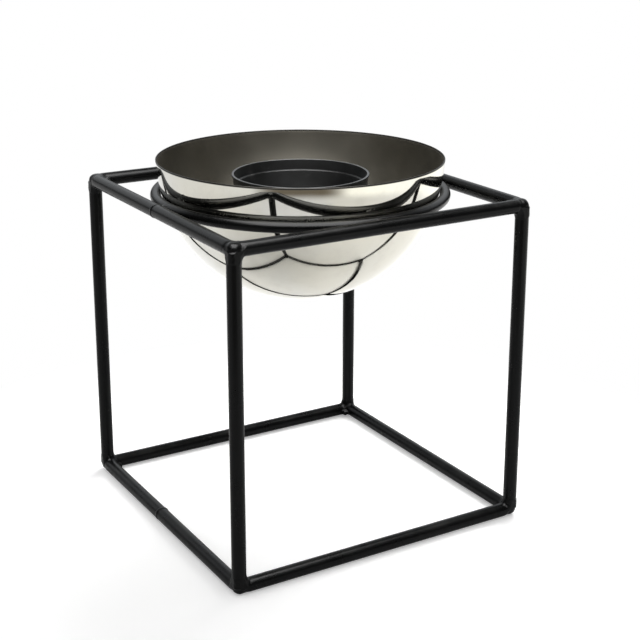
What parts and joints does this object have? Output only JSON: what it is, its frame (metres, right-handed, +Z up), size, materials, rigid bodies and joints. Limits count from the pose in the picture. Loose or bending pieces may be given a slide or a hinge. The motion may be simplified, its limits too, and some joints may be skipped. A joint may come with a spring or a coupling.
{
  "type": "plant stand",
  "caption": "Cube-shaped stand of welded round rod, with a loose hemispherical steel bowl in a rod ring at the top and a loose plastic grow pot standing in the bowl.",
  "frame": {"origin": "on the floor under the middle of the stand", "axes": "+Z up; -Y is the side with the front left and front right posts; the left rail, with the two seam welds, is on -X"},
  "size_m": [0.2406, 0.24, 0.2674],
  "materials": {
    "frame_paint": "satin black paint on steel rod, worn a little dull on the tops of the rails",
    "bowl_steel": "mirror polished steel sheet with faint spinning marks",
    "pot_plastic": "thin black moulded plastic, slightly shiny"
  },
  "bodies": {
    "stand": {"base_frame": "frame_paint", "top_frame": "frame_paint", "post_front_left": "frame_paint", "post_front_right": "frame_paint", "post_back_right": "frame_paint", "post_back_left": "frame_paint", "bowl_ring": "frame_paint", "base_corner_welds": "frame_paint", "top_corner_welds": "frame_paint", "ring_welds": "frame_paint", "top_seam_weld": "frame_paint", "base_seam_weld": "frame_paint"},
    "bowl": {"bowl": "bowl_steel"},
    "pot": {"grow_pot": "pot_plastic"}
  },
  "joints": [
    {"name": "bowl_lift", "type": "slide", "parent": "stand", "child": "bowl", "axis": [0, 0, 1], "range_m": [0, 0.1]},
    {"name": "pot_lift", "type": "slide", "parent": "bowl", "child": "pot", "axis": [0, 0, 1], "range_m": [0, 0.11]}
  ]
}
